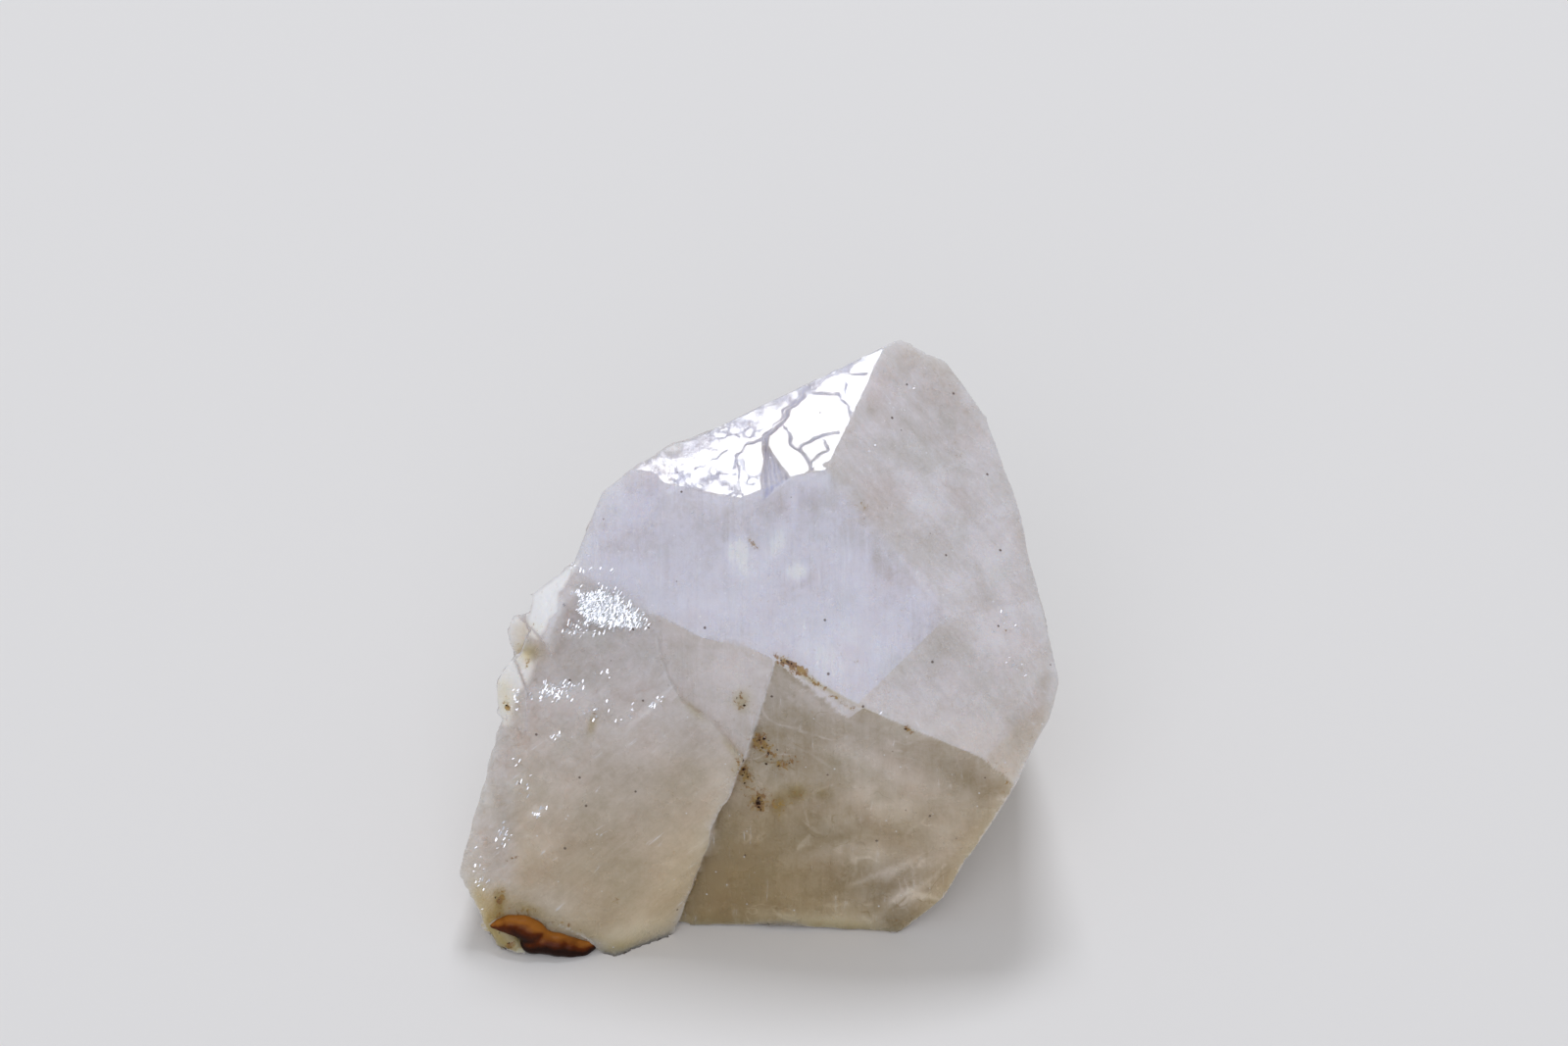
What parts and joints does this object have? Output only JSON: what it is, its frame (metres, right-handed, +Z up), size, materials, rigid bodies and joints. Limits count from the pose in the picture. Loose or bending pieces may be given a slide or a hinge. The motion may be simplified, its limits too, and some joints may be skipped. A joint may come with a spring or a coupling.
{
  "type": "milky quartz specimen",
  "caption": "Small milky quartz crystal point with an intergrown lump, a glossy termination face, fractured sides and a broken foot that it stands on, stained with iron oxide.",
  "frame": {"origin": "On the flat broken foot, under the middle of the specimen's bounding box.", "axes": "+Z up, away from the surface it rests on; +Y to the back, so the large front faces lean back from -Y; +X to the right seen from the front, the side of the crystal point."},
  "size_m": [0.0295, 0.0238, 0.0222],
  "materials": {
    "milky_quartz": "gloss",
    "iron_oxide": "gloss"
  },
  "bodies": {
    "root": {"quartz_cluster": "milky_quartz", "iron_oxide_crust": "iron_oxide"}
  },
  "joints": []
}
